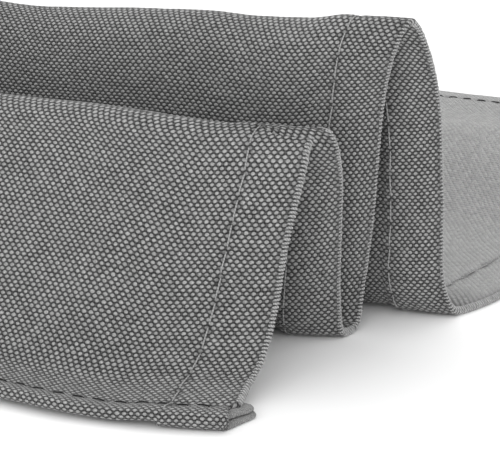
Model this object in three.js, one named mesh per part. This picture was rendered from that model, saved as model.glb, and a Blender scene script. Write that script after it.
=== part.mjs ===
// Folded tablecloth: the hemmed corner of a heavy plain-woven cloth, standing in two tent folds with the
// rest lying flat behind them. One cloth, one closed sheet. Millimetres, +Z up, folds along X, front at -Y.
import * as THREE from 'three';

// driving sizes, mm
const clothWidth = 300;       // along the folds, from the right edge to the left edge
const sheetThickness = 1.1;   // single cloth, at the stoutness of a solid sheet
const hemThickness = 1.5;     // turned-in hem, on all four edges
const sideHem = 11;           // width of the hems across the folds
const hemRamp = 3;            // run from hem thickness down to sheet thickness
const curlReach = 32;         // the right end swings back over this length of cloth
const swayStart = 70;         // beyond this the ridges wander a little
const swayLength = 118;       // one full wander of a ridge

// A row for each line along the folds, front to back. At the right edge: its place (edgeX, edgeY, edgeZ),
// how far its threads turn from X there (turn, degrees) and how much they dip inward (dip, degrees).
// Past the curl: innerY, innerZ; at the left end: endY, endZ. sway: how far it wanders; steps: to the next.
const foldLines = [
  { name: 'frontHem', edgeX: 1.8, edgeY: -37.5, edgeZ: 0.3, turn: 35, dip: 3,
    innerY: -46.5, innerZ: 0, endY: -47, endZ: 0, sway: 0.6, steps: 2 },
  { name: 'frontStitch', edgeX: -1, edgeY: -31.6, edgeZ: 0.9, turn: 32, dip: 3,
    innerY: -37.4, innerZ: 0.5, endY: -38, endZ: 0.5, sway: 0.5, steps: 2 },
  { name: 'footEnd', edgeX: -2.2, edgeY: -27, edgeZ: 2.7, turn: 28, dip: 4,
    innerY: -29.6, innerZ: 1.8, endY: -30.5, endZ: 1.8, sway: 0.4, steps: 2 },
  { name: 'footRise', edgeX: -1.6, edgeY: -25.6, edgeZ: 5.6, turn: 24, dip: 5,
    innerY: -25.2, innerZ: 4.8, endY: -25.8, endZ: 4.6, sway: 0.4, steps: 2 },
  { name: 'panel1Low', edgeX: 0, edgeY: -25.2, edgeZ: 11.2, turn: 20, dip: 7,
    innerY: -22.8, innerZ: 11, endY: -23.2, endZ: 10.6, sway: 0.7, steps: 2 },
  { name: 'panel1Mid', edgeX: 0.6, edgeY: -21.8, edgeZ: 22.8, turn: 14, dip: 9,
    innerY: -18.8, innerZ: 22.5, endY: -19, endZ: 22, sway: 1.1, steps: 2 },
  { name: 'panel1High', edgeX: 0.8, edgeY: -16.6, edgeZ: 32.2, turn: 14, dip: 8,
    innerY: -15.6, innerZ: 31.8, endY: -15.6, endZ: 31.4, sway: 1.5, steps: 2 },
  { name: 'ridge1Near', edgeX: -0.2, edgeY: -11.6, edgeZ: 36.8, turn: 20, dip: 5,
    innerY: -14, innerZ: 35.9, endY: -14, endZ: 35.7, sway: 1.8, steps: 2 },
  { name: 'ridge1', edgeX: 0.8, edgeY: -9.2, edgeZ: 38.2, turn: 35, dip: 2,
    innerY: -11.8, innerZ: 37.6, endY: -11.8, endZ: 37.3, sway: 1.9, steps: 2 },
  { name: 'ridge1Far', edgeX: 2, edgeY: -8.4, edgeZ: 36.2, turn: 50, dip: 0,
    innerY: -9.6, innerZ: 35.5, endY: -9.4, endZ: 35.2, sway: 1.8, steps: 2 },
  { name: 'panel2High', edgeX: 1.6, edgeY: -5.6, edgeZ: 29.3, turn: 62, dip: 0,
    innerY: -8.6, innerZ: 28.5, endY: -8.2, endZ: 28, sway: 1.4, steps: 2 },
  { name: 'panel2Mid', edgeX: 0.4, edgeY: -3.2, edgeZ: 15.5, turn: 64, dip: 0,
    innerY: -8.8, innerZ: 15, endY: -8, endZ: 15, sway: 0.8, steps: 2 },
  { name: 'panel2Low', edgeX: 0, edgeY: -1.6, edgeZ: 5.3, turn: 48, dip: 0,
    innerY: -8, innerZ: 5, endY: -7.4, endZ: 5, sway: 0.4, steps: 2 },
  { name: 'valleyFront', edgeX: 0.4, edgeY: -0.4, edgeZ: 0.5, turn: 30, dip: 0,
    innerY: -5, innerZ: 0.4, endY: -5, endZ: 0.4, sway: 0.3, steps: 2 },
  { name: 'valleyBack', edgeX: 1.3, edgeY: 3.2, edgeZ: 0.5, turn: 30, dip: 0,
    innerY: -0.6, innerZ: 0.4, endY: 0, endZ: 0.4, sway: 0.3, steps: 2 },
  { name: 'panel3Low', edgeX: 1.1, edgeY: 5.4, edgeZ: 5, turn: 48, dip: 0,
    innerY: 1.8, innerZ: 5, endY: 2.2, endZ: 5, sway: 0.5, steps: 2 },
  { name: 'panel3Mid', edgeX: 2.6, edgeY: 5.6, edgeZ: 18.8, turn: 60, dip: 0,
    innerY: 2.2, innerZ: 18, endY: 2.6, endZ: 17, sway: 1, steps: 3 },
  { name: 'panel3High', edgeX: 4.2, edgeY: 5.2, edgeZ: 38.4, turn: 56, dip: 0,
    innerY: 2, innerZ: 36, endY: 3.4, endZ: 34, sway: 1.8, steps: 2 },
  { name: 'ridge2Near', edgeX: 6.8, edgeY: 4.6, edgeZ: 50, turn: 38, dip: 0,
    innerY: 3, innerZ: 47.5, endY: 4.6, endZ: 45.5, sway: 2.2, steps: 2 },
  { name: 'ridge2', edgeX: 8.5, edgeY: 6.5, edgeZ: 53.7, turn: 25, dip: 0,
    innerY: 6.2, innerZ: 50.5, endY: 7, endZ: 48.2, sway: 2.3, steps: 2 },
  { name: 'ridge2Far', edgeX: 9.7, edgeY: 8.4, edgeZ: 50.6, turn: 35, dip: 0,
    innerY: 9.8, innerZ: 47, endY: 9.6, endZ: 45, sway: 2.2, steps: 2 },
  { name: 'panel4High', edgeX: 10, edgeY: 14, edgeZ: 38, turn: 56, dip: 0,
    innerY: 11.4, innerZ: 36, endY: 11.6, endZ: 34, sway: 1.8, steps: 3 },
  { name: 'panel4Mid', edgeX: 10.5, edgeY: 15.2, edgeZ: 21, turn: 60, dip: 0,
    innerY: 11.2, innerZ: 20, endY: 12.2, endZ: 17, sway: 1, steps: 2 },
  { name: 'panel4Low', edgeX: 11.2, edgeY: 16, edgeZ: 5.6, turn: 45, dip: 0,
    innerY: 12, innerZ: 5.5, endY: 13.4, endZ: 5, sway: 0.5, steps: 2 },
  { name: 'landing', edgeX: 13, edgeY: 17.4, edgeZ: 0.5, turn: 25, dip: 0,
    innerY: 14.8, innerZ: 0.4, endY: 16.6, endZ: 0.4, sway: 0.3, steps: 2 },
  { name: 'floorNear', edgeX: 16, edgeY: 25, edgeZ: 0, turn: 6, dip: 0,
    innerY: 23, innerZ: 0, endY: 24, endZ: 0, sway: 0, steps: 2 },
  { name: 'floorMid', edgeX: 19, edgeY: 43, edgeZ: 0, turn: 8, dip: 0,
    innerY: 42, innerZ: 0, endY: 42, endZ: 0, sway: 0, steps: 2 },
  { name: 'humpFoot', edgeX: 22, edgeY: 62, edgeZ: 1.5, turn: 6, dip: 0,
    innerY: 62, innerZ: 1.5, endY: 62, endZ: 1.2, sway: 0.4, steps: 3 },
  { name: 'humpTop', edgeX: 24, edgeY: 86, edgeZ: 11.5, turn: 3, dip: 0,
    innerY: 90, innerZ: 12, endY: 90, endZ: 10, sway: 2, steps: 3 },
  { name: 'humpBack', edgeX: 25, edgeY: 108, edgeZ: 1.5, turn: 2, dip: 0,
    innerY: 112, innerZ: 1.5, endY: 112, endZ: 1.2, sway: 0.4, steps: 2 },
  { name: 'floorBack', edgeX: 25, edgeY: 128, edgeZ: 0, turn: 0, dip: 0,
    innerY: 130, innerZ: 0, endY: 130, endZ: 0, sway: 0, steps: 2 },
  { name: 'backStitch', edgeX: 25, edgeY: 140.5, edgeZ: 0, turn: 0, dip: 0,
    innerY: 140.5, innerZ: 0, endY: 140.5, endZ: 0, sway: 0, steps: 1 },
  { name: 'backHem', edgeX: 25, edgeY: 150, edgeZ: 0, turn: 0, dip: 0,
    innerY: 150, innerZ: 0, endY: 150, endZ: 0, sway: 0, steps: 0 },
];

const ease = t => t * t * (3 - 2 * t);
const clamp01 = t => Math.min(1, Math.max(0, t));

// cloth distances from the right edge at which the sheet is drawn: close in the curl and at the hems
function stations() {
  const inCurl = [0, 4, 8, sideHem, sideHem + hemRamp, 18, 23, 28, curlReach, 44, 58, 76];
  const open = [];
  const spacing = 27;
  const last = clothWidth - sideHem - hemRamp;
  const count = Math.round((last - 76) / spacing);
  for (let i = 1; i <= count; i++) open.push(76 + (last - 76) * i / count);
  return [...inCurl, ...open, clothWidth - sideHem, clothWidth - 5, clothWidth];
}

// a point on one fold line, u mm of cloth away from the right edge
function linePoint(row, u) {
  const turn = row.turn * Math.PI / 180;
  const dip = row.dip * Math.PI / 180;
  const edge = new THREE.Vector3(row.edgeX, row.edgeY, row.edgeZ);
  const stepY = row.innerY - row.edgeY;
  const stepZ = row.innerZ - row.edgeZ;
  const shortening = 0.5 * (stepY * stepY + stepZ * stepZ) / curlReach;
  const run = curlReach - shortening - 0.1 * curlReach * (1 - Math.cos(turn));
  if (u <= curlReach) {
    const q = u / curlReach;
    const q2 = q * q;
    const q3 = q2 * q;
    const leave = new THREE.Vector3(-Math.cos(turn) * Math.cos(dip), -Math.sin(turn) * Math.cos(dip),
      -Math.sin(dip)).multiplyScalar(curlReach);
    const inner = new THREE.Vector3(row.edgeX - run, row.innerY, row.innerZ);
    const arrive = new THREE.Vector3(-curlReach, 0, 0);
    return new THREE.Vector3()
      .addScaledVector(edge, 2 * q3 - 3 * q2 + 1)
      .addScaledVector(leave, q3 - 2 * q2 + q)
      .addScaledVector(inner, 3 * q2 - 2 * q3)
      .addScaledVector(arrive, q3 - q2);
  }
  const along = ease((u - curlReach) / (clothWidth - curlReach));
  const free = ease(clamp01((u - swayStart) / 70)) * row.sway;
  const phase = 2 * Math.PI * (u - swayStart) / swayLength;
  return new THREE.Vector3(
    row.edgeX - run - (u - curlReach),
    row.innerY + (row.endY - row.innerY) * along + free * Math.sin(phase),
    row.innerZ + (row.endZ - row.innerZ) * along - 0.3 * free * (1 - Math.cos(0.7 * phase)));
}

// the cloth's mid line across the folds: a centripetal curve through the fold lines
function column(u) {
  const knots = foldLines.map(row => linePoint(row, u));
  const before = knots[0].clone().multiplyScalar(2).sub(knots[1]);
  const after = knots.at(-1).clone().multiplyScalar(2).sub(knots.at(-2));
  const path = [before, ...knots, after];
  const points = [];
  for (let i = 1; i < knots.length; i++) {
    const [a, b, c, d] = path.slice(i - 1, i + 3);
    const tb = Math.sqrt(a.distanceTo(b));
    const tc = tb + Math.sqrt(b.distanceTo(c));
    const td = tc + Math.sqrt(c.distanceTo(d));
    const mix = (p, q, tp, tq, t) => p.clone().multiplyScalar((tq - t) / (tq - tp))
      .addScaledVector(q, (t - tp) / (tq - tp));
    const steps = foldLines[i - 1].steps;
    for (let j = 0; j < steps; j++) {
      const t = tb + (tc - tb) * j / steps;
      const ab = mix(a, b, 0, tb, t);
      const bc = mix(b, c, tb, tc, t);
      const cd = mix(c, d, tc, td, t);
      points.push(mix(mix(ab, bc, 0, tc, t), mix(bc, cd, tb, td, t), tb, tc, t));
    }
  }
  points.push(knots.at(-1).clone());
  return points;
}

// half the sheet's thickness: stout in the hems, thin between them
function halfThickness(u, lineIndex, lineCount) {
  const fromSide = Math.min(u, clothWidth - u);
  const inSide = 1 - clamp01((fromSide - sideHem) / hemRamp);
  const inEnds = lineIndex <= foldLines[0].steps || lineIndex >= lineCount - 2 ? 1 : 0;
  return (sheetThickness + (hemThickness - sheetThickness) * Math.max(inSide, inEnds)) / 2;
}

function clothGeometry() {
  const across = stations();
  const columns = across.map(column);
  const nu = across.length;
  const nv = columns[0].length;
  const halves = across.map(u => columns[0].map((_, j) => halfThickness(u, j, nv)));
  columns.forEach((points, i) => points.forEach((p, j) => { p.z = Math.max(p.z, 0) + halves[i][j]; }));
  const upper = [];
  const lower = [];
  for (let i = 0; i < nu; i++) {
    for (let j = 0; j < nv; j++) {
      const along = columns[Math.max(i - 1, 0)][j].clone().sub(columns[Math.min(i + 1, nu - 1)][j]);
      const over = columns[i][Math.min(j + 1, nv - 1)].clone().sub(columns[i][Math.max(j - 1, 0)]);
      const normal = new THREE.Vector3().crossVectors(along, over).normalize();
      upper.push(columns[i][j].clone().addScaledVector(normal, halves[i][j]));
      lower.push(columns[i][j].clone().addScaledVector(normal, -halves[i][j]));
    }
  }
  for (const p of lower) if (p.z < 0.12) p.z = 0;
  const points = [...upper, ...lower];
  const box = new THREE.Box3().setFromPoints(points);
  const centre = box.getCenter(new THREE.Vector3());
  const positions = points.flatMap(p => [p.x - centre.x, p.y - centre.y, p.z]);
  const top = (i, j) => i * nv + j;
  const under = (i, j) => nu * nv + i * nv + j;
  const faces = [];
  const quad = (a, b, c, d) => faces.push(a, b, c, a, c, d);
  for (let i = 0; i < nu - 1; i++) {
    for (let j = 0; j < nv - 1; j++) {
      quad(top(i, j), top(i, j + 1), top(i + 1, j + 1), top(i + 1, j));
      quad(under(i, j), under(i + 1, j), under(i + 1, j + 1), under(i, j + 1));
    }
    quad(top(i, 0), top(i + 1, 0), under(i + 1, 0), under(i, 0));
    quad(top(i, nv - 1), under(i, nv - 1), under(i + 1, nv - 1), top(i + 1, nv - 1));
  }
  for (let j = 0; j < nv - 1; j++) {
    quad(top(0, j), under(0, j), under(0, j + 1), top(0, j + 1));
    quad(top(nu - 1, j), top(nu - 1, j + 1), under(nu - 1, j + 1), under(nu - 1, j));
  }
  const geometry = new THREE.BufferGeometry();
  geometry.setAttribute('position', new THREE.Float32BufferAttribute(positions, 3));
  geometry.setIndex(faces);
  geometry.computeVertexNormals();
  return geometry;
}

const tablecloth = new THREE.Group();
tablecloth.name = 'folded_tablecloth';
const cloth = new THREE.Mesh(
  clothGeometry(), new THREE.MeshStandardMaterial({ color: 0x7c7c7b, roughness: 0.92, metalness: 0 }));
cloth.name = 'cloth';
tablecloth.add(cloth);
export default tablecloth;
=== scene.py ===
import bpy, math, random
import numpy as np
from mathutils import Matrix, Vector, noise


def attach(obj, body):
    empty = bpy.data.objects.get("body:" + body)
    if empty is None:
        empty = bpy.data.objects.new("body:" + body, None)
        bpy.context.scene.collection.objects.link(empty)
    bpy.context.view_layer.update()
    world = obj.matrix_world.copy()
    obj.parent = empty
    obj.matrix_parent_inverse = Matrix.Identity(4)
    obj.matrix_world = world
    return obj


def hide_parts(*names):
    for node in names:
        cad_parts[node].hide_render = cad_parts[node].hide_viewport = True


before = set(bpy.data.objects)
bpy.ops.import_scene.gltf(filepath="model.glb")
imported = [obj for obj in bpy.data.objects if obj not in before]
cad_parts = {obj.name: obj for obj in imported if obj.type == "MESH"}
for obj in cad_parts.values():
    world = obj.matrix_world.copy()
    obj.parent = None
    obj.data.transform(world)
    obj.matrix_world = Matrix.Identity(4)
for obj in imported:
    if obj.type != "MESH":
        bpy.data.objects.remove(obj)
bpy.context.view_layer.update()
bpy.ops.object.select_all(action="DESELECT")
print("frame loaded, nodes:", list(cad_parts))

mm = 0.001
rowShift = np.array([138.329, -51.24, 0.0])  # from the fold table's origin to the frame's, mm

# the folds
# One row for each line along the folds, front to back, in mm. At the right edge: its place x y z,
# how far its threads turn from X there, how much they dip inward (degrees).
# Past the curl: y z; further left: y z; how far it wanders.
foldLines = {
    "frontHem": (1.8, -42.4, 0.1, 24, 0, -49.8, 1.0, -50.4, 1.0, 0.6),
    "frontStitch": (0.9, -38.3, 0.6, 24, 2, -45.0, 0.4, -45.6, 0.3, 0.5),
    "footEnd": (-0.8, -31.4, 2.1, 22, 3, -39.0, 1.6, -39.8, 1.6, 0.4),
    "footRise": (-0.2, -28.7, 4.7, 22, 4, -35.6, 4.8, -36.2, 4.7, 0.4),
    "panel1Low": (-0.1, -24.7, 10.5, 20, 6, -31.8, 11.2, -32.2, 10.9, 0.7),
    "panel1Mid": (0.6, -21.5, 22.6, 18, 7, -25.4, 22.8, -25.6, 22.3, 1.1),
    "panel1High": (0.8, -16.6, 32.2, 18, 6, -20.4, 32.6, -20.4, 32.2, 1.5),
    "ridge1Near": (-0.2, -11.6, 36.3, 22, -3, -17.6, 37.1, -17.6, 36.2, 1.8),
    "ridge1": (0.8, -9.2, 37.6, 35, -6, -15.3, 38.6, -15.3, 37.6, 1.9),
    "ridge1Far": (2.0, -8.4, 35.7, 50, -5, -12.8, 36.4, -12.6, 35.4, 1.8),
    "panel2High": (1.6, -5.6, 29.3, 62, 0, -9.6, 29.0, -9.2, 28.7, 1.4),
    "panel2Mid": (0.4, -3.2, 15.5, 64, 0, -8.8, 15.0, -8.0, 15.0, 0.8),
    "panel2Low": (0.0, -1.6, 5.3, 48, 0, -8.0, 5.0, -7.4, 5.0, 0.4),
    "valleyFront": (0.4, -0.4, 0.5, 30, 0, -5.0, 0.4, -5.0, 0.4, 0.3),
    "valleyBack": (1.3, 3.2, 0.5, 30, 0, -0.6, 0.4, 0.0, 0.4, 0.3),
    "panel3Low": (1.1, 5.4, 5.0, 48, 0, 1.8, 5.0, 2.2, 5.0, 0.5),
    "panel3Mid": (2.6, 5.6, 18.8, 60, 0, 2.2, 18.0, 2.6, 17.0, 1.0),
    "panel3High": (4.2, 5.2, 38.4, 56, 0, 2.0, 36.0, 3.4, 34.0, 1.8),
    "ridge2Near": (6.8, 4.6, 48.8, 38, -5, 3.0, 47.8, 4.6, 45.2, 2.2),
    "ridge2": (8.5, 6.5, 52.4, 25, -6, 6.2, 50.8, 7.0, 47.8, 2.3),
    "ridge2Far": (9.7, 8.4, 49.3, 35, -5, 9.8, 47.3, 9.6, 45.0, 2.2),
    "panel4High": (10.0, 14.0, 38.0, 56, 0, 11.4, 36.0, 11.6, 34.0, 1.8),
    "panel4Mid": (10.5, 15.2, 21.0, 60, 0, 11.2, 20.0, 12.2, 17.0, 1.0),
    "panel4Low": (11.2, 16.0, 5.6, 45, 0, 12.0, 5.5, 13.4, 5.0, 0.5),
    "landing": (13.0, 17.4, 0.5, 25, 0, 14.8, 0.4, 16.6, 0.4, 0.3),
    "floorNear": (16.0, 25.0, 0.0, 6, 0, 23.0, 0.0, 24.0, 0.0, 0.0),
    "floorMid": (19.0, 43.0, 0.0, 8, 0, 42.0, 0.0, 42.0, 0.0, 0.0),
    "humpFoot": (22.0, 62.0, 1.5, 6, 0, 62.0, 1.5, 62.0, 1.2, 0.4),
    "humpTop": (24.0, 86.0, 11.5, 3, 0, 90.0, 12.0, 90.0, 10.0, 2.0),
    "humpBack": (25.0, 108.0, 1.5, 2, 0, 112.0, 1.5, 112.0, 1.2, 0.4),
    "floorBack": (25.0, 128.0, 0.0, 0, 0, 130.0, 0.0, 130.0, 0.0, 0.0),
    "backStitch": (25.0, 140.5, 0.0, 0, 0, 140.5, 0.0, 140.5, 0.0, 0.0),
    "backHem": (25.0, 150.0, 0.0, 0, 0, 150.0, 0.0, 150.0, 0.0, 0.0),
}

clothValues = {
    "width": 300.0,        # along the folds, mm
    "length": 350.0,       # across the folds, front hem to back hem, mm
    "pitch": 0.66,         # between the yarns that run along the folds, mm
    "pitchAlong": 0.6,     # between the yarns that run across them
    "rimPitch": 0.58,      # between the yarns round an edge
    "thickness": 0.45,     # one layer
    "hemExtra": 0.75,      # what the turned-in layers add
    "rollExtra": 0.7,      # what the fat front edge adds on top of that
    "sideHem": 9.6,        # side stitch line from its edge
    "frontHem": 4.5,       # front stitch line from its edge
    "allowance": 0.8,      # the turned-in edge runs this far past the stitching
    "trough": 0.22,        # how deep the stitching pulls in
    "stitch": 4.2,         # stitch pitch
    "curl": 32.0,          # the right end swings back over this length
    "settle": 45.0,        # past it the folds settle over this length
    "swayStart": 70.0,
    "swayLength": 118.0,
    "undulation": 0.28,    # soft unevenness of the panels
}
cv = clothValues
rimSteps = 5


def ease(t):
    t = np.clip(t, 0.0, 1.0)
    return t * t * (3 - 2 * t)


def spaced(*stretches):
    # (start, end, step) stretches joined into one list of stations
    out = []
    for start, end, step in stretches:
        count = max(1, round((end - start) / step))
        out += [start + (end - start) * i / count for i in range(count)]
    return out + [stretches[-1][1]]


def foldPoints(u):
    # a point on each fold line, u mm of cloth from the right edge
    rows = np.array(list(foldLines.values()))
    edge = rows[:, 0:3]
    turn, dip = np.radians(rows[:, 3]), np.radians(rows[:, 4])
    innerY, innerZ, endY, endZ, sway = rows[:, 5:10].T
    curl = cv["curl"]
    stepY, stepZ = innerY - edge[:, 1], innerZ - edge[:, 2]
    run = curl - 0.5 * (stepY ** 2 + stepZ ** 2) / curl - 0.1 * curl * (1 - np.cos(turn))
    if u <= curl:
        q = u / curl
        leave = -curl * np.stack([np.cos(turn) * np.cos(dip), np.sin(turn) * np.cos(dip), np.sin(dip)], 1)
        inner = np.stack([edge[:, 0] - run, innerY, innerZ], 1)
        arrive = np.array([-curl, 0, 0])
        return ((2 * q ** 3 - 3 * q ** 2 + 1) * edge + (q ** 3 - 2 * q ** 2 + q) * leave
                + (3 * q ** 2 - 2 * q ** 3) * inner + (q ** 3 - q ** 2) * arrive)
    along = ease((u - curl) / cv["settle"])
    free = ease((u - cv["swayStart"]) / 70) * sway
    phase = 2 * math.pi * (u - cv["swayStart"]) / cv["swayLength"]
    return np.stack([
        edge[:, 0] - run - (u - curl),
        innerY + (endY - innerY) * along + free * math.sin(phase),
        innerZ + (endZ - innerZ) * along - 0.3 * free * (1 - math.cos(0.7 * phase))], 1)


def column(u, fine=14):
    # the cloth's line across the folds at u, finely drawn, with its running length
    knots = foldPoints(u)
    path = np.vstack([2 * knots[0] - knots[1], knots, 2 * knots[-1] - knots[-2]])
    gap = np.sqrt(np.linalg.norm(np.diff(path, axis=0), axis=1))
    points = []
    for i in range(1, len(knots)):
        a, b, c, d = path[i - 1:i + 3]
        tb = gap[i - 1]
        tc = tb + gap[i]
        td = tc + gap[i + 1]
        t = (tb + (tc - tb) * np.arange(fine) / fine)[:, None]
        ab = a * (tb - t) / tb + b * t / tb
        bc = b * (tc - t) / (tc - tb) + c * (t - tb) / (tc - tb)
        cd = c * (td - t) / (td - tc) + d * (t - tc) / (td - tc)
        abc = ab * (tc - t) / tc + bc * t / tc
        bcd = bc * (td - t) / (td - tb) + cd * (t - tb) / (td - tb)
        points.append(abc * (tc - t) / (tc - tb) + bcd * (t - tb) / (tc - tb))
    line = np.vstack(points + [knots[-1:]])
    length = np.concatenate([[0], np.cumsum(np.linalg.norm(np.diff(line, axis=0), axis=1))])
    return line, length, length[::fine]


# cloth length from the front hem to each fold line, the same for the whole sheet
lineLengths = np.mean([column(u)[2] for u in (0.5, 6, 11, 16, 22, 30, 45, 60, 80)], axis=0)
lineLengths *= cv["length"] / lineLengths[-1]


def across(u, v):
    # the middle of the cloth, u mm from the right edge, at lengths v from the front hem
    line, length, knots = column(u)
    at = np.interp(v, lineLengths, knots)
    return np.stack([np.interp(at, length, line[:, axis]) for axis in range(3)], -1)


def closeness(v, ofThese):
    # a value for each of nine fold lines, drawn out over the lengths v between them
    names = list(foldLines)
    chosen = ("frontHem", "footRise", "panel1Mid", "ridge1", "panel2Mid",
              "panel3Low", "ridge2", "panel4Mid", "floorMid")
    return np.interp(v, [lineLengths[names.index(name)] for name in chosen], ofThese)


def alongCloseness(v):
    # how much closer than the plain pitch the yarns across the folds stand
    return closeness(v, (1.12, 1.08, 1.05, 1.04, 1.12, 1.12, 1.12, 1.16, 1.1))


def acrossCloseness(v):
    # the same for the yarns along the folds
    return closeness(v, (1.0, 1.0, 1.0, 1.0, 1.0, 1.08, 1.14, 1.14, 1.1))


def hemShare(v):
    # the side hem is a little wider at its front end
    return closeness(v, (0.93, 0.94, 1.01, 1.01, 1.0, 0.995, 1.01, 1.01, 0.98))


# the cloth
def cornerCut(v):
    # the front hem's end stands back from the side hem's edge
    return (0.5 + 0.9 * ease(v / 4.5)) * (1 - ease((v - 4.8) / 0.8))


def cornerPocket(u, v):
    # near the front right corner the end of the hem is open between its layers
    return ease((5.6 - u) / 1.6) * ease((v - 0.7) / 0.6) * ease((5.8 - v) / 0.7)


def edgeDistances(u, v):
    return np.minimum(u, cv["width"] - u), v, cv["length"] - v


def seamDip(d, along):
    # a stitch line pulls the layers together, most at the needle holes
    hole = 0.62 + 0.38 * np.cos(2 * math.pi * along / cv["stitch"])
    return cv["trough"] * np.exp(-(d / 0.6) ** 2) * hole + 0.1 * np.exp(-(d / 2.2) ** 2) * hole


def hemLayers(u, v, reach):
    # how far the turned-in layers stand out on the wrong side; reach softens their inner edge
    side, front, back = edgeDistances(u, v)
    side = side * hemShare(v)
    sideIn = 1 - ease((side - cv["sideHem"] - cv["allowance"]) / reach)
    frontIn = 1 - ease((front - cv["frontHem"] - cv["allowance"]) / reach)
    backIn = 1 - ease((back - cv["frontHem"] - cv["allowance"]) / reach)
    roll = cv["rollExtra"] * np.sin(np.clip((cv["frontHem"] + 0.6 - front) / 4.6, 0, 1) * math.pi * 0.6)
    return cv["hemExtra"] * (sideIn + frontIn + backIn) + roll


def seamMarks(u, v):
    side, front, back = edgeDistances(u, v)
    side = side * hemShare(v)
    return (seamDip(side - cv["sideHem"], v) + seamDip(front - cv["frontHem"], u)
            + seamDip(back - cv["frontHem"], u))


def unevenness(u, v):
    # soft swells across the panels, and short puckers beside the seams
    side = min(u, cv["width"] - u)
    swell = noise.noise(Vector((u * 0.035, v * 0.05, 3.1)))
    swell += 0.5 * noise.noise(Vector((u * 0.11, v * 0.13, 7.7)))
    small = noise.noise(Vector((u * 0.55, v * 0.55, 1.3)))
    hem = math.exp(-((side - cv["sideHem"]) / 7) ** 2)
    pucker = noise.noise(Vector((u * 0.12, v * 0.36, 5.2))) * hem
    calm = min(1.0, max(0.0, v - 3) / 12)
    return cv["undulation"] * swell * calm + 0.22 * pucker * calm + 0.05 * small


def gridNormals(points):
    along = np.empty_like(points)
    over = np.empty_like(points)
    along[1:-1] = points[:-2] - points[2:]
    along[0], along[-1] = points[0] - points[1], points[-2] - points[-1]
    over[:, 1:-1] = points[:, 2:] - points[:, :-2]
    over[:, 0], over[:, -1] = points[:, 1] - points[:, 0], points[:, -1] - points[:, -2]
    normal = np.cross(along, over)
    unit = lambda w: w / np.linalg.norm(w, axis=2, keepdims=True)
    return unit(normal), unit(along), unit(over)


rimReach = 0.55  # how far the rounded edge stands past the outermost station, mm
uStations = spaced((rimReach, 15, 0.5), (15, 36, 0.85), (36, 100, 1.55), (100, 284, 5.4),
                   (284, cv["width"] - rimReach, 1.1))
vStations = spaced((rimReach, 13.5, 0.47), (13.5, 212, 1.03), (212, 334, 2.6),
                   (334, cv["length"] - rimReach, 0.8))
nu = len(uStations)
nv = len(vStations)
uu, vv = np.meshgrid(uStations, vStations, indexing="ij")

# the front right corner: the hem's end is cut back there
vArray = np.array(vStations)
middle = np.empty((nu, nv, 3))
for i, u in enumerate(uStations):
    middle[i] = across(u, vArray)
    if u < 15:
        fade = 1 - ease((u - rimReach) / 14.5)
        for j in range(nv):
            push = cornerCut(vStations[j]) * fade
            if push > 0.01:
                uu[i, j] = u + push
                middle[i, j] = across(u + push, vArray[j])

half = cv["thickness"] / 2
middle[:, :, 2] = np.maximum(middle[:, :, 2], 0) + half + hemLayers(uu, vv, 8.0)
swells = np.array([[unevenness(uu[i, j], vv[i, j]) for j in range(nv)] for i in range(nu)])
normal, along, over = gridNormals(middle)
middle += normal * swells[:, :, None]
normal, along, over = gridNormals(middle)

layers = hemLayers(uu, vv, 0.5) * (1 - 0.82 * cornerPocket(uu, vv))
marks = seamMarks(uu, vv)
proud = 0.1 * np.clip(layers / cv["hemExtra"], 0, 1)
upperOut = half + proud - marks
lowerOut = half + layers - 0.6 * marks
upper = middle + normal * upperOut[:, :, None]
lower = middle - normal * lowerOut[:, :, None]
upper[:, :, 2] = np.maximum(upper[:, :, 2], 0.3)
lower[:, :, 2] = np.maximum(lower[:, :, 2], 0.0)

extra = 60 * (1 - np.exp(-uu / 60)) * (alongCloseness(vv) - 1)
threadU = (uu + extra) / cv["pitchAlong"]
fineV = np.linspace(0, cv["length"], 701)
close = acrossCloseness(fineV)
runV = np.concatenate([[0], np.cumsum((close[1:] + close[:-1]) / 2 * np.diff(fineV))])
threadV = np.interp(vv, fineV, runV) / cv["pitch"]


def perimeter():
    # round the sheet's edge: station numbers, and which way is out in the sheet
    loop = [(i, 0, 0, -1) for i in range(1, nu - 1)]
    loop = [(0, 0, -1, -1)] + loop + [(nu - 1, 0, 1, -1)]
    loop += [(nu - 1, j, 1, 0) for j in range(1, nv - 1)]
    loop += [(nu - 1, nv - 1, 1, 1)] + [(i, nv - 1, 0, 1) for i in range(nu - 2, 0, -1)]
    loop += [(0, nv - 1, -1, 1)] + [(0, j, -1, 0) for j in range(nv - 2, 0, -1)]
    return loop


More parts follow.
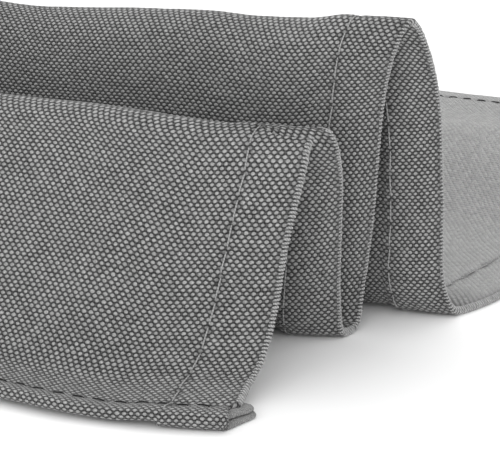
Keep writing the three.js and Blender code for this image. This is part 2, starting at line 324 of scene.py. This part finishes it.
def clothMesh():
    count = nu * nv
    points = [upper.reshape(-1, 3), lower.reshape(-1, 3)]
    faces, corners = [], []
    top = lambda i, j: i * nv + j
    under = lambda i, j: count + i * nv + j
    upUv = lambda i, j: (threadU[i, j], threadV[i, j])
    downUv = lambda i, j: (-threadU[i, j] - 1.0, threadV[i, j])  # the wrong side, mirrored
    for i in range(nu - 1):
        for j in range(nv - 1):
            ring = [(i, j), (i, j + 1), (i + 1, j + 1), (i + 1, j)]
            faces.append([top(*p) for p in ring])
            corners.append([upUv(*p) for p in ring])
            faces.append([under(*p) for p in reversed(ring)])
            corners.append([downUv(*p) for p in reversed(ring)])
    # the rounded rim
    loop = perimeter()
    rim, rimUv = [], []
    for i, j, outU, outV in loop:
        out = over[i, j] * outV - along[i, j] * outU
        out = out / np.linalg.norm(out)
        high, low = upper[i, j], lower[i, j]
        centre, rise = (high + low) / 2, (high - low) / 2
        reach = rimReach + (0.6 * max(0.0, np.linalg.norm(rise) - 0.5) if outV else 0.0)
        ring, ringUv = [high], []
        turned = 0.0
        for k in range(1, rimSteps + 1):
            angle = math.pi * (0.5 - k / (rimSteps + 1))
            ring.append(centre + rise * math.sin(angle) + out * reach * math.cos(angle))
            turned += np.linalg.norm(ring[-1] - ring[-2]) / cv["rimPitch"]
            ringUv.append((threadU[i, j] + outU * turned, threadV[i, j] + outV * turned))
        turned += np.linalg.norm(low - ring[-1]) / cv["rimPitch"]
        ringUv.append((threadU[i, j] + outU * turned, threadV[i, j] + outV * turned))
        rim.append(ring[1:])
        rimUv.append(ringUv)
    points.append(np.array(rim).reshape(-1, 3))
    base = 2 * count
    for k in range(len(loop)):
        nextK = (k + 1) % len(loop)
        chain, chainUv = [], []
        for m in (k, nextK):
            i, j, outU, outV = loop[m]
            chain.append([top(i, j)] + [base + m * rimSteps + s for s in range(rimSteps)] + [under(i, j)])
            chainUv.append([upUv(i, j)] + rimUv[m])
        for s in range(rimSteps + 1):
            faces.append([chain[0][s], chain[1][s], chain[1][s + 1], chain[0][s + 1]])
            corners.append([chainUv[0][s], chainUv[1][s], chainUv[1][s + 1], chainUv[0][s + 1]])
    points = (np.vstack(points) + rowShift) * mm
    points[:, 2] = np.maximum(points[:, 2], 0)
    mesh = bpy.data.meshes.new("cloth")
    mesh.from_pydata(points.tolist(), [], faces)
    threads = mesh.uv_layers.new(name="threads")
    threads.data.foreach_set("uv", np.array(corners, np.float32).ravel())
    # how near a folded edge, for the painted shade between the edge yarn ribs, and how flat the cloth lies,
    # where the painted gap shade is lifted
    fromEdge = np.minimum(uu, cv["width"] - uu)
    clear = ease((vv - 5.2) / 1.0)  # the open corner has no yarn ribs
    ribShadeMask = (np.exp(-(np.maximum(fromEdge - 0.4, 0) / 0.7) ** 1.5) * clear).reshape(-1)
    rimRibShadeMask = np.repeat([clear[i, j] if outU else 0.0 for i, j, outU, _ in loop], rimSteps)
    allRibShadeMask = np.concatenate([ribShadeMask, ribShadeMask, rimRibShadeMask])
    mesh.attributes.new("edgeRibShade", "FLOAT", "POINT").data.foreach_set("value", allRibShadeMask.astype(np.float32))
    lying = ease((vv - 208) / 16).reshape(-1)
    rimLying = np.repeat([lying[i * nv + j] for i, j, _, _ in loop], rimSteps)
    mesh.attributes.new("lying", "FLOAT", "POINT").data.foreach_set(
        "value", np.concatenate([lying, lying, rimLying]).astype(np.float32))
    # how far the stitching pulls in, which sets the painted shade in the seam troughs
    pull = np.clip(marks / cv["trough"], 0, 1).reshape(-1)
    rimPull = np.zeros(len(loop) * rimSteps)
    mesh.attributes.new("pulled", "FLOAT", "POINT").data.foreach_set(
        "value", np.concatenate([pull, pull, rimPull]).astype(np.float32))
    mesh.validate()
    mesh.update()
    piece = bpy.data.objects.new("tablecloth", mesh)
    bpy.context.collection.objects.link(piece)
    for polygon in mesh.polygons:
        polygon.use_smooth = True
    return piece, rim, loop


tablecloth, rimRings, rimLoop = clothMesh()
print("cloth:", nu, "by", nv, "stations,", len(tablecloth.data.polygons), "faces")


# stitching
def onSheet(grid, u, v):
    # a point or direction between the stations, u v in mm
    i = min(max(np.searchsorted(uStations, u) - 1, 0), nu - 2)
    j = min(max(np.searchsorted(vStations, v) - 1, 0), nv - 2)
    a = (u - uStations[i]) / (uStations[i + 1] - uStations[i])
    b = (v - vStations[j]) / (vStations[j + 1] - vStations[j])
    return ((1 - a) * (1 - b) * grid[i, j] + a * (1 - b) * grid[i + 1, j]
            + (1 - a) * b * grid[i, j + 1] + a * b * grid[i + 1, j + 1])


def closedPiece(name, mesh):
    # the mesh as an object, all its faces smooth and turned outwards
    piece = bpy.data.objects.new(name, mesh)
    bpy.context.collection.objects.link(piece)
    bpy.context.view_layer.objects.active = piece
    piece.select_set(True)
    bpy.ops.object.mode_set(mode="EDIT")
    bpy.ops.mesh.select_all(action="SELECT")
    bpy.ops.mesh.normals_make_consistent(inside=False)
    bpy.ops.object.mode_set(mode="OBJECT")
    piece.select_set(False)
    for polygon in mesh.polygons:
        polygon.use_smooth = True
    return piece


stitchValues = {"width": 0.26, "height": 0.24, "sink": 0.5, "stand": 0.12}


def stitchShape(length):
    # one lockstitch: a short thread with both ends pulled down into the cloth, lying along X, mm
    s = stitchValues
    bpy.ops.mesh.primitive_cylinder_add(vertices=8, radius=s["width"] / 2, depth=length * 0.3,
                                        rotation=(0, math.pi / 2, 0))
    stitch = bpy.context.object
    bpy.ops.object.transform_apply(location=False, rotation=True, scale=False)
    for end in (1, -1):
        for stretch, shrink, drop in ((0.16, 0.97, 0.06), (0.12, 0.85, 0.22), (0.07, 0.6, 0.5)):
            bpy.ops.object.mode_set(mode="EDIT")
            bpy.ops.mesh.select_all(action="DESELECT")
            bpy.ops.object.mode_set(mode="OBJECT")
            for polygon in stitch.data.polygons:
                polygon.select = polygon.normal.x * end > 0.75
            bpy.ops.object.mode_set(mode="EDIT")
            bpy.ops.mesh.select_mode(type="FACE")
            bpy.ops.mesh.extrude_region_move(
                TRANSFORM_OT_translate={"value": (end * length * stretch, 0, -s["sink"] * drop)})
            bpy.ops.transform.resize(value=(1, shrink, shrink))
            bpy.ops.object.mode_set(mode="OBJECT")
    bpy.ops.object.mode_set(mode="EDIT")
    bpy.ops.mesh.select_all(action="SELECT")
    bpy.ops.transform.resize(value=(1, 1, s["height"] / s["width"]), center_override=(0, 0, 0))
    bpy.ops.object.mode_set(mode="OBJECT")
    points = np.array([v.co[:] for v in stitch.data.vertices])
    faces = [list(p.vertices) for p in stitch.data.polygons]
    bpy.data.objects.remove(stitch)
    return points, faces


def seams():
    # every stitch line: a start and end, and a way from a distance along it to u v
    width, length, side, front = cv["width"], cv["length"], cv["sideHem"], cv["frontHem"]
    return [
        ("rightSeam", 1.0, length - 1, lambda t: (side / hemShare(t), t), 1, 4.2, 3.8),
        ("leftSeam", 1.0, length - 1, lambda t: (width - side / hemShare(t), t), 1, 4.2, 3.8),
        ("frontSeam", 2.6, width - 1, lambda t: (t, front), 0, 3.5, 2.3),
        ("backSeam", 1.0, width - 1, lambda t: (t, length - front), 0, 3.5, 2.3),
    ]


def stitchPiece(name, start, end, place, acrossFolds, pitch, size):
    points, faces = stitchShape(size)
    placed, rings = [], []
    spin = random.Random(name)
    for face, height, sign in ((upper, upperOut, 1), (lower, lowerOut, -1)):
        count = int((end - start) / pitch)
        for n in range(count):
            at = start + pitch * (n + 0.5) + (0 if sign > 0 else pitch / 2) + spin.uniform(-0.12, 0.12)
            lean = spin.uniform(-0.06, 0.06)
            if at > end - pitch / 2:
                continue
            base = len(placed)
            for x, y, z in points:
                u, v = place(at + x)
                if acrossFolds:
                    u += y + lean * x
                else:
                    v += y + lean * x
                sides = (-0.45, 0.45)  # the cloth beside the thread carries it
                p = sum(onSheet(face, u + a, v + b) for a in sides for b in sides) / 4
                p += sign * onSheet(normal, u, v) * (z + stitchValues["stand"])
                placed.append(p)
            rings += [[base + k for k in face2] if sign * (1 if acrossFolds else -1) > 0
                      else [base + k for k in reversed(face2)] for face2 in faces]
    mesh = bpy.data.meshes.new(name)
    cloud = (np.array(placed) + rowShift) * mm
    cloud[:, 2] = np.maximum(cloud[:, 2], 0.0)
    mesh.from_pydata(cloud.tolist(), [], rings)
    mesh.update()
    return closedPiece(name, mesh)


stitchPieces = [stitchPiece(*seam) for seam in seams()]
print("stitching:", [(p.name, len(p.data.polygons)) for p in stitchPieces])

# yarns round the folded edges
edgeYarnValues = {"radius": 0.22, "stand": 0.1, "sides": 6, "pitch": 0.62}


def edgeYarns(name, picks, spacingOf):
    # each yarn goes round the edge as a small rib and sinks back into the cloth at both ends
    placed, rings = [], []
    spin = random.Random(name)
    e = edgeYarnValues
    for n, (k, share) in enumerate(picks):
        fat = spin.uniform(0.85, 1.1)
        stand = e["stand"] + spin.uniform(-0.05, 0.04)
        here, there = rimLoop[k], rimLoop[(k + 1) % len(rimLoop)]
        mix = lambda a, b: (1 - share) * a + share * b
        stepIn = lambda grid, spot, d: grid[spot[0] - d * spot[2], spot[1] - d * spot[3]]
        inner = lambda grid, d: mix(stepIn(grid, here, d), stepIn(grid, there, d))
        path = [inner(upper, 1), inner(upper, 0)]
        path += [mix(rimRings[k][s], rimRings[(k + 1) % len(rimLoop)][s]) for s in range(rimSteps)]
        path += [inner(lower, 0), inner(lower, 1)]
        path = np.array(path)
        middleOf = (path[1] + path[-2]) / 2
        sideways = spacingOf(k)
        sizes = [0.5, 0.9] + [1.0] * rimSteps + [0.9, 0.5]
        lifts = [-1.2, 0.3] + [1.0] * rimSteps + [0.3, -1.2]
        base = len(placed)
        for m, p in enumerate(path):
            before, after = path[max(m - 1, 0)], path[min(m + 1, len(path) - 1)]
            forward = (after - before) / np.linalg.norm(after - before)
            outward = np.cross(forward, sideways)
            outward /= np.linalg.norm(outward)
            if np.dot(outward, p - middleOf) < 0:
                outward = -outward
            r = e["radius"] * fat * sizes[m]
            centre = p + outward * (stand * lifts[m] - 0.45 * e["radius"])
            for s in range(e["sides"]):
                angle = 2 * math.pi * s / e["sides"]
                placed.append(centre + (sideways * math.cos(angle) * 0.95 + outward * math.sin(angle)) * r)
        count = len(path)
        for m in range(count - 1):
            for s in range(e["sides"]):
                a, b = base + m * e["sides"] + s, base + m * e["sides"] + (s + 1) % e["sides"]
                rings.append([a, b, b + e["sides"], a + e["sides"]])
        rings.append([base + s for s in reversed(range(e["sides"]))])
        rings.append([base + (count - 1) * e["sides"] + s for s in range(e["sides"])])
    mesh = bpy.data.meshes.new(name)
    cloud = (np.array(placed) + rowShift) * mm
    cloud[:, 2] = np.maximum(cloud[:, 2], 0.0)
    mesh.from_pydata(cloud.tolist(), [], rings)
    mesh.update()
    return closedPiece(name, mesh)


def yarnPicks(outU, outV, begin, end):
    # where the yarns meet one edge, a pitch apart: place in the rim loop and share of the next one
    spots, run = [], 0.0
    places = [k for k, p in enumerate(rimLoop) if p[2] == outU and p[3] == outV]
    stations = [(k, vStations[rimLoop[k][1]] if outU else uStations[rimLoop[k][0]]) for k in places]
    stations.sort(key=lambda pair: pair[1])
    values = [s for _, s in stations]
    at = begin
    while at < end:
        n = min(max(np.searchsorted(values, at) - 1, 0), len(values) - 2)
        (k0, s0), (k1, s1) = stations[n], stations[n + 1]
        share = (at - s0) / (s1 - s0)
        spots.append((k0, share) if k1 > k0 else (k1, 1 - share))
        at += edgeYarnValues["pitch"]
    return spots


def sidewaysAt(k):
    i, j, outU, outV = rimLoop[k]
    return over[i, j] if outU else along[i, j]


edgePieces = [
    edgeYarns("rightEdgeYarns", yarnPicks(-1, 0, 6.2, 346), sidewaysAt),
    edgeYarns("leftEdgeYarns", yarnPicks(1, 0, 4, 346), sidewaysAt),
]
print("edge yarns:", [(p.name, len(p.data.polygons)) for p in edgePieces])


# the open corner: two layers of the hem's end show under its upper one
leafPitch = 0.35  # between their yarns, mm
# rows front to back, mm: y, where it ends on the right, underside, top
cornerLeaves = {
    "cornerUnderLayer": ((-42.5, 0.7, 0.0, 0.7), (-41.8, 1.2, 0.0, 0.8), (-39.5, 1.8, 0.0, 0.9),
                         (-37.2, 2.5, 0.0, 0.9), (-35.9, 2.7, 0.1, 0.9), (-35.2, 2.0, 0.3, 0.8)),
    "cornerMiddleLayer": ((-41.4, 0.0, 1.0, 1.6), (-40.4, 0.5, 1.0, 1.8), (-38.4, 1.5, 1.0, 2.0),
                          (-36.8, 2.2, 1.0, 1.9), (-35.7, 2.2, 1.0, 1.8), (-35.1, 1.5, 1.1, 1.7)),
}


def cornerLeaf(name, rows):
    # a layer of cloth whose right end is a soft fold
    rows = np.array(rows)
    steps = np.linspace(0, 1, 19)
    places = np.linspace(0, 1, len(rows))
    lines = np.stack([np.interp(steps, places, rows[:, k]) for k in range(4)], -1)
    inner = -4.5
    points, faces, corners = [], [], []
    for y, end, low, high in lines:
        middleZ, thick = (low + high) / 2, (high - low) / 2
        tip = end - thick
        over = [(inner + (tip - inner) * t, high) for t in np.linspace(0, 1, 7)]
        turn = [(tip + thick * math.cos(angle), middleZ + thick * math.sin(angle))
                for angle in np.linspace(1.2, -1.2, 5)]
        under = [(inner + (tip - inner) * t, low) for t in np.linspace(1, 0, 7)]
        points += [(x, y, z) for x, z in over + turn + under]
    ring = 19
    for m in range(len(lines) - 1):
        for k in range(ring):
            a, b = m * ring + k, m * ring + (k + 1) % ring
            faces.append([a, b, b + ring, a + ring])
    faces.append(list(reversed(range(ring))))
    faces.append([(len(lines) - 1) * ring + k for k in range(ring)])
    mesh = bpy.data.meshes.new(name)
    mesh.from_pydata(((np.array(points) + rowShift) * mm).tolist(), [], faces)
    threads = mesh.uv_layers.new(name="threads")
    for loop in mesh.loops:
        x, y, z = points[loop.vertex_index]
        threads.data[loop.index].uv = ((x - z) / leafPitch, y / leafPitch)
    # these layers have three quarters of the painted gap shade lifted
    mesh.attributes.new("lying", "FLOAT", "POINT").data.foreach_set("value", [0.75] * len(points))
    mesh.update()
    return closedPiece(name, mesh)


leafPieces = [cornerLeaf(name, rows) for name, rows in cornerLeaves.items()]
print("corner layers:", [p.name for p in leafPieces])


# materials
def newGroup(name, inputs, outputs):
    group = bpy.data.node_groups.new(name, "ShaderNodeTree")
    for label, kind, value in inputs:
        socket = group.interface.new_socket(name=label, in_out="INPUT", socket_type=kind)
        if value is not None:
            socket.default_value = value
    for label, kind in outputs:
        group.interface.new_socket(name=label, in_out="OUTPUT", socket_type=kind)
    return group, group.nodes.new("NodeGroupInput"), group.nodes.new("NodeGroupOutput")


class Wiring:
    # short hands for placing and joining nodes in one tree
    def __init__(self, tree):
        self.tree = tree

    def node(self, kind, **settings):
        made = self.tree.nodes.new(kind)
        for key, value in settings.items():
            setattr(made, key, value)
        return made

    def join(self, source, target):
        self.tree.links.new(source, target)

    def feed(self, socket, value):
        if isinstance(value, bpy.types.NodeSocket):
            self.join(value, socket)
        else:
            socket.default_value = value

    def math(self, operation, a, b=None, c=None):
        made = self.node("ShaderNodeMath", operation=operation)
        for socket, value in zip(made.inputs, (a, b, c)):
            if value is not None:
                self.feed(socket, value)
        return made.outputs[0]

    def vector(self, operation, a, b):
        made = self.node("ShaderNodeVectorMath", operation=operation)
        self.feed(made.inputs[0], a)
        self.feed(made.inputs["Scale"] if operation == "SCALE" else made.inputs[1], b)
        return made.outputs[0]

    def remap(self, value, low, high, toLow=0.0, toHigh=1.0, smooth=False):
        made = self.node("ShaderNodeMapRange", interpolation_type="SMOOTHSTEP" if smooth else "LINEAR")
        self.feed(made.inputs["Value"], value)
        for label, number in (("From Min", low), ("From Max", high), ("To Min", toLow), ("To Max", toHigh)):
            self.feed(made.inputs[label], number)
        return made.outputs[0]

    def noise(self, vector, scale, detail=2.0):
        made = self.node("ShaderNodeTexNoise", noise_dimensions="3D")
        self.feed(made.inputs["Vector"], vector)
        made.inputs["Scale"].default_value = scale
        made.inputs["Detail"].default_value = detail
        return made

    def blend(self, share, a, b, mode="MIX"):
        made = self.node("ShaderNodeMix", data_type="RGBA", blend_type=mode)
        self.feed(made.inputs[0], share)
        self.feed(made.inputs[6], a)
        self.feed(made.inputs[7], b)
        return made.outputs[2]


def plainWeaveGroup():
    # floats of the yarns along U stand in brick order; the crossing yarns lie lower between them
    group, enter, leave = newGroup(
        "plainWeave",
        [("Threads", "NodeSocketVector", None), ("Float Length", "NodeSocketFloat", 0.72),
         ("Float Width", "NodeSocketFloat", 0.52), ("Cross Level", "NodeSocketFloat", 0.28),
         ("Wander", "NodeSocketFloat", 0.2), ("Uneven", "NodeSocketFloat", 0.22)],
        [("Height", "NodeSocketFloat"), ("Shade", "NodeSocketFloat"), ("Fibre", "NodeSocketFloat"),
         ("Run", "NodeSocketFloat")])
    w = Wiring(group)
    threads = enter.outputs["Threads"]
    slow = w.vector("SUBTRACT", w.noise(threads, 0.05, 0.0).outputs["Color"], (0.5, 0.5, 0.5))
    quick = w.vector("SUBTRACT", w.noise(threads, 0.5, 1.0).outputs["Color"], (0.5, 0.5, 0.5))
    wander = enter.outputs["Wander"]
    moved = w.vector("ADD", threads, w.vector("SCALE", slow, w.math("MULTIPLY", wander, 5.0)))
    moved = w.vector("ADD", moved, w.vector("SCALE", quick, wander))
    apart = w.node("ShaderNodeSeparateXYZ")
    w.join(moved, apart.inputs[0])
    x, y = apart.outputs["X"], apart.outputs["Y"]
    # every float has a diamond cell of its own, numbered along the two slants
    rising = w.math("FLOOR", w.math("MULTIPLY", w.math("ADD", x, y), 0.5))
    falling = w.math("FLOOR", w.math("MULTIPLY", w.math("SUBTRACT", x, y), 0.5))
    fromX = w.math("SUBTRACT", x, w.math("ADD", w.math("ADD", rising, falling), 1.0))
    row = w.math("SUBTRACT", rising, falling)
    fromY = w.math("SUBTRACT", y, row)
    name = w.node("ShaderNodeCombineXYZ")
    w.join(rising, name.inputs[0])
    w.join(falling, name.inputs[1])
    dice = w.node("ShaderNodeTexWhiteNoise", noise_dimensions="3D")
    w.join(name.outputs[0], dice.inputs["Vector"])
    rolls = w.node("ShaderNodeSeparateColor")
    w.join(dice.outputs["Color"], rolls.inputs[0])
    uneven = enter.outputs["Uneven"]
    nudge = lambda roll, much: w.math("MULTIPLY", w.math("SUBTRACT", roll, 0.5),
                                      w.math("MULTIPLY", uneven, much))
    alongBead = w.math("ADD", fromX, nudge(rolls.outputs[0], 0.5))
    acrossBead = w.math("ADD", fromY, nudge(rolls.outputs[1], 0.4))
    # a yarn is thick and thin along its own run
    run = w.node("ShaderNodeCombineXYZ")
    w.join(w.math("MULTIPLY", x, 0.16), run.inputs[0])
    w.join(w.math("MULTIPLY", row, 7.3), run.inputs[1])
    slub = w.remap(w.noise(run.outputs[0], 1.0, 1.0).outputs["Fac"], 0.3, 0.7, 0.96, 1.04)
    size = w.math("MULTIPLY", slub, w.math("ADD", 1.0, nudge(rolls.outputs[2], 0.6)))
    ratio = lambda value, reach: w.math("DIVIDE", value, w.math("MULTIPLY", reach, size))
    square = lambda value: w.math("MULTIPLY", value, value)
    far = w.math("ADD", square(ratio(alongBead, enter.outputs["Float Length"])),
                 square(ratio(acrossBead, enter.outputs["Float Width"])))
    dome = w.math("SQRT", w.math("MAXIMUM", w.math("SUBTRACT", 1.0, far), 0.0))
    offX = w.math("SUBTRACT", 1.0, w.math("ABSOLUTE", fromX))
    offY = w.math("SUBTRACT", 1.0, w.math("ABSOLUTE", fromY))
    beside = w.math("ADD", square(w.math("DIVIDE", offX, 0.42)), square(w.math("DIVIDE", fromY, 0.6)))
    above = w.math("ADD", square(w.math("DIVIDE", fromX, 0.42)), square(w.math("DIVIDE", offY, 0.6)))
    lowFar = w.math("MINIMUM", beside, above)
    lowDome = w.math("SQRT", w.math("MAXIMUM", w.math("SUBTRACT", 1.0, lowFar), 0.0))
    lowDome = w.math("MULTIPLY", lowDome, enter.outputs["Cross Level"])
    stretched = w.vector("MULTIPLY", threads, (1.0, 2.2, 1.0))
    fibre = w.noise(stretched, 2.3, 2.0).outputs["Fac"]
    fuzz = w.math("MULTIPLY", w.math("SUBTRACT", fibre, 0.5), 0.35)
    height = w.math("ADD", w.math("MAXIMUM", dome, lowDome), fuzz)
    w.join(height, leave.inputs["Height"])
    w.join(dice.outputs["Value"], leave.inputs["Shade"])
    w.join(fibre, leave.inputs["Fibre"])
    w.join(fromX, leave.inputs["Run"])
    return group


weaveGroup = plainWeaveGroup()

clothLook = {
    # gap: painted shade deep between the yarns, where the light does not reach
    "gap": (0.008, 0.008, 0.008, 1),
    "top": (0.36, 0.36, 0.358, 1),
    # edge: painted shade under and between the yarn ribs along the side edges
    "edge": (0.03, 0.03, 0.03, 1),
    "relief": 0.38 * mm,
    "sheen": 0.25,
}


def clothMaterial():
    look = clothLook
    material = bpy.data.materials.new("greyPlainWeave")
    material.use_nodes = True
    tree = material.node_tree
    tree.nodes.clear()
    w = Wiring(tree)
    output = w.node("ShaderNodeOutputMaterial")
    shader = w.node("ShaderNodeBsdfPrincipled")
    w.join(shader.outputs[0], output.inputs[0])
    threads = w.node("ShaderNodeUVMap", uv_map="threads")
    weave = w.node("ShaderNodeGroup", node_tree=weaveGroup)
    w.join(threads.outputs[0], weave.inputs["Threads"])
    ribShadeMask = w.node("ShaderNodeAttribute", attribute_name="edgeRibShade").outputs["Fac"]
    lying = w.node("ShaderNodeAttribute", attribute_name="lying").outputs["Fac"]
    place = w.node("ShaderNodeTexCoord").outputs["Object"]
    height = weave.outputs["Height"]
    # colour follows the weave's height: the gaps and the low crossing yarns are painted in shade, the float
    # tops keep the yarn's grey
    lift = w.remap(height, 0.14, 0.84)
    # where the cloth lies flat the painted gap shade is lifted, so the flat back is painted evenly light
    bared = w.math("MAXIMUM", lift, w.math("MULTIPLY", lying, 1.0))
    colour = w.blend(bared, look["gap"], look["top"])
    # painted shade between the edge yarn ribs: near a side edge the cloth is darkened toward the edge
    # colour
    colour = w.blend(w.math("MULTIPLY", ribShadeMask, 0.75), colour, look["edge"])
    shade = w.remap(weave.outputs["Shade"], 0.0, 1.0, 0.88, 1.1)
    cloudy = w.remap(w.noise(place, 60.0, 3.0).outputs["Fac"], 0.3, 0.7, 0.97, 1.03)
    streak = w.remap(weave.outputs["Fibre"], 0.3, 0.7, 0.6, 1.4)
    toneAndPaintedLight = w.math("MULTIPLY", w.math("MULTIPLY", shade, cloudy), streak)
    # painted highlight toward one end of each float, painted shade toward its other end
    toneAndPaintedLight = w.math("MULTIPLY", toneAndPaintedLight, w.remap(weave.outputs["Run"], -0.6, 0.6, 1.14, 0.86))
    pulled = w.node("ShaderNodeAttribute", attribute_name="pulled").outputs["Fac"]
    # painted shade in the stitch troughs, darkest at the needle holes
    toneAndPaintedLight = w.math("MULTIPLY", toneAndPaintedLight, w.remap(pulled, 0.35, 1.0, 1.0, 0.5))
    colour = w.vector("SCALE", colour, toneAndPaintedLight)
    w.join(colour, shader.inputs["Base Color"])
    w.join(w.remap(height, 0.0, 1.0, 1.0, 0.82), shader.inputs["Roughness"])
    bump = w.node("ShaderNodeBump")
    bump.inputs["Strength"].default_value = 1.0
    bump.inputs["Distance"].default_value = look["relief"]
    w.join(height, bump.inputs["Height"])
    w.join(bump.outputs[0], shader.inputs["Normal"])
    shader.inputs["Sheen Weight"].default_value = look["sheen"]
    shader.inputs["Sheen Roughness"].default_value = 0.5
    shader.inputs["Specular IOR Level"].default_value = 0.25
    return material


def yarnMaterial(name, colour, dark, scale):
    # twisted yarn: fine slanting plies on object coordinates
    material = bpy.data.materials.new(name)
    material.use_nodes = True
    tree = material.node_tree
    tree.nodes.clear()
    w = Wiring(tree)
    output = w.node("ShaderNodeOutputMaterial")
    shader = w.node("ShaderNodeBsdfPrincipled")
    w.join(shader.outputs[0], output.inputs[0])
    place = w.node("ShaderNodeTexCoord").outputs["Object"]
    plies = w.node("ShaderNodeTexWave", wave_type="BANDS", bands_direction="DIAGONAL")
    w.join(place, plies.inputs["Vector"])
    plies.inputs["Scale"].default_value = scale
    plies.inputs["Distortion"].default_value = 3.0
    plies.inputs["Detail"].default_value = 2.0
    mottle = w.noise(place, scale * 1.4, 2.0).outputs["Fac"]
    mask = w.math("ADD", w.math("MULTIPLY", plies.outputs["Fac"], 0.6), w.math("MULTIPLY", mottle, 0.5))
    w.join(w.blend(mask, dark, colour), shader.inputs["Base Color"])
    w.join(w.remap(mask, 0.0, 1.0, 0.95, 0.75), shader.inputs["Roughness"])
    bump = w.node("ShaderNodeBump")
    bump.inputs["Strength"].default_value = 0.8
    bump.inputs["Distance"].default_value = 0.05 * mm
    w.join(mask, bump.inputs["Height"])
    w.join(bump.outputs[0], shader.inputs["Normal"])
    shader.inputs["Sheen Weight"].default_value = 0.2
    shader.inputs["Specular IOR Level"].default_value = 0.25
    return material


weaveLook = clothMaterial()
threadLook = yarnMaterial("sewingThread", (0.42, 0.42, 0.418, 1), (0.16, 0.16, 0.16, 1), 900.0)
# a near-black copy of the sewing thread: painted shade for the shadowed slits of the front and back seams
shadedThreadLook = yarnMaterial("shadedSewingThread", (0.014, 0.014, 0.014, 1), (0.004, 0.004, 0.004, 1), 900.0)
edgeLook = yarnMaterial("edgeYarn", (0.5, 0.5, 0.498, 1), (0.13, 0.13, 0.13, 1), 1100.0)
for piece in [tablecloth, *leafPieces]:
    piece.data.materials.append(weaveLook)
# the side seams get the sewing thread, the front and back seams its painted-shade copy
for piece in stitchPieces:
    onSide = piece.name in ("rightSeam", "leftSeam")
    piece.data.materials.append(threadLook if onSide else shadedThreadLook)
for piece in edgePieces:
    piece.data.materials.append(edgeLook)
print("materials done")

# onto the frame
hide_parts("cloth")
for piece in [tablecloth, *stitchPieces, *edgePieces, *leafPieces]:
    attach(piece, "root")

# floor, light and camera
stageValues = {
    "floorSize": 8.0,
    "skyStrength": 1.12,
    "softboxes": {  # name: place, size, watts
        "backSoftbox": ((-0.15, 0.6, 0.9), 1.1, 3.0),
        "frontSoftbox": ((0.25, -1.0, 0.4), 0.9, 3.0),
    },
    "lens": 146.9,
    "cameraPlace": (0.2729, -0.3373, 0.1272),
    "cameraTurn": (71.0, 0.0, 28.0),
}
sv = stageValues
bpy.ops.mesh.primitive_plane_add(size=sv["floorSize"], location=(0, 0, 0))
floor = bpy.context.object
floor.name = "floor"
floorLook = bpy.data.materials.new("paleFloor")
floorLook.use_nodes = True
paint = floorLook.node_tree.nodes["Principled BSDF"]
paint.inputs["Base Color"].default_value = (0.93, 0.93, 0.93, 1)
paint.inputs["Roughness"].default_value = 0.9
floor.data.materials.append(floorLook)

world = bpy.data.worlds.new("softSky")
world.use_nodes = True
world.node_tree.nodes["Background"].inputs[0].default_value = (1, 1, 1, 1)
world.node_tree.nodes["Background"].inputs[1].default_value = sv["skyStrength"]
bpy.context.scene.world = world

for name, (place, size, watts) in sv["softboxes"].items():
    bpy.ops.object.light_add(type="AREA", location=place)
    softbox = bpy.context.object
    softbox.name = name
    softbox.data.shape = "SQUARE"
    softbox.data.size = size
    softbox.data.energy = watts
    softbox.rotation_euler = (Vector((0.05, 0, 0)) - softbox.location).to_track_quat("-Z", "Y").to_euler()

cameraData = bpy.data.cameras.new("camera")
cameraData.lens = sv["lens"]
cameraData.sensor_width = 36
cameraData.clip_start = 0.01
camera = bpy.data.objects.new("camera", cameraData)
bpy.context.collection.objects.link(camera)
camera.location = sv["cameraPlace"]
camera.rotation_euler = [math.radians(a) for a in sv["cameraTurn"]]
bpy.context.scene.camera = camera
bpy.context.scene.view_settings.view_transform = "Standard"
print("stage ready")
